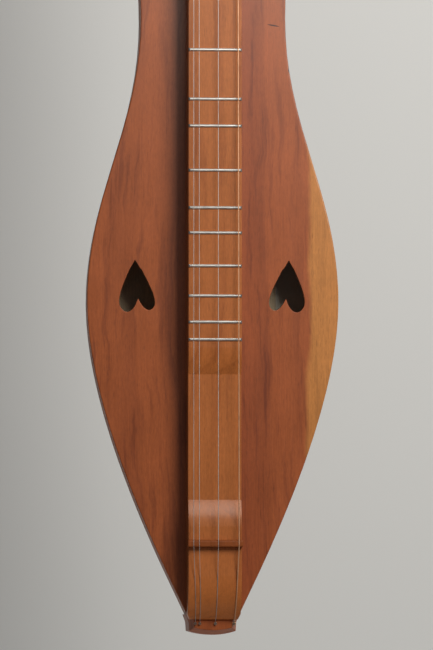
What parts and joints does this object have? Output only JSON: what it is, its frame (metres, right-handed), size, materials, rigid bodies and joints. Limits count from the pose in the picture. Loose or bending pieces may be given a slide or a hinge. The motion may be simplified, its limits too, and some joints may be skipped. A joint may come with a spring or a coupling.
{
  "type": "mountain dulcimer",
  "caption": "Fretted lap dulcimer with an hourglass body, heart sound holes, raised fretboard with a strum hollow, and a scroll peghead with turning friction pegs.",
  "frame": {"origin": "on the plane of the back, under the middle of the instrument's box", "axes": "+Z out of the soundboard, +Y from the tail to the scroll, +X towards the bass string"},
  "size_m": [0.1616, 0.9424, 0.0629],
  "materials": {
    "soundboard_wood": "satin lacquer over red-brown cherry",
    "fretboard_wood": "satin lacquer over lighter cherry",
    "body_wood": "satin lacquer",
    "inner_wood": "bare wood",
    "peg_wood": "polished dark hardwood",
    "label_paper": "uncoated paper, blank",
    "fret_wire": "polished nickel silver",
    "plain_string": "bright plain steel",
    "wound_string": "bronze wrap",
    "pin_steel": "plain wire"
  },
  "bodies": {
    "body": {"back_melody_side": "body_wood", "back_bass_side": "body_wood", "soundboard_melody_side": "soundboard_wood", "soundboard_bass_side": "soundboard_wood", "side_rib_melody": "body_wood", "side_rib_bass": "body_wood", "back_lining_melody": "inner_wood", "back_lining_bass": "inner_wood", "top_lining_melody": "inner_wood", "top_lining_bass": "inner_wood", "back_brace_lower": "inner_wood", "back_brace_waist": "inner_wood", "back_brace_upper": "inner_wood", "back_seam_strip": "inner_wood", "paper_label": "label_paper", "tail_block": "body_wood", "head_block": "inner_wood", "peghead": "body_wood", "fretboard": "fretboard_wood", "nut": "fretboard_wood", "bridge": "fretboard_wood", "hitch_pins": "pin_steel", "fret_01": "fret_wire", "fret_02": "fret_wire", "fret_03": "fret_wire", "fret_04": "fret_wire", "fret_05": "fret_wire", "fret_06": "fret_wire", "fret_07": "fret_wire", "fret_08": "fret_wire", "fret_09": "fret_wire", "fret_10": "fret_wire", "fret_11": "fret_wire", "fret_12": "fret_wire", "fret_13": "fret_wire", "fret_14": "fret_wire", "fret_15": "fret_wire", "fret_16": "fret_wire", "fret_17": "fret_wire", "string_melody_outer": "plain_string", "string_melody_inner": "plain_string", "string_middle": "plain_string", "string_bass": "wound_string"},
    "peg_melody_outer": {"tuning_peg_melody_outer": "peg_wood", "winding_melody_outer": "plain_string"},
    "peg_bass": {"tuning_peg_bass": "peg_wood", "winding_bass": "wound_string"},
    "peg_melody_inner": {"tuning_peg_melody_inner": "peg_wood", "winding_melody_inner": "plain_string"},
    "peg_middle": {"tuning_peg_middle": "peg_wood", "winding_middle": "plain_string"}
  },
  "joints": [
    {"name": "peg_melody_outer_turn", "type": "hinge", "parent": "body", "child": "peg_melody_outer", "pos_m": [0, 0.33315, 0.039], "axis": [1, 0, 0], "continuous": true},
    {"name": "peg_bass_turn", "type": "hinge", "parent": "body", "child": "peg_bass", "pos_m": [0, 0.35415, 0.039], "axis": [1, 0, 0], "continuous": true},
    {"name": "peg_melody_inner_turn", "type": "hinge", "parent": "body", "child": "peg_melody_inner", "pos_m": [0, 0.37515, 0.039], "axis": [1, 0, 0], "continuous": true},
    {"name": "peg_middle_turn", "type": "hinge", "parent": "body", "child": "peg_middle", "pos_m": [0, 0.39615, 0.039], "axis": [1, 0, 0], "continuous": true}
  ]
}
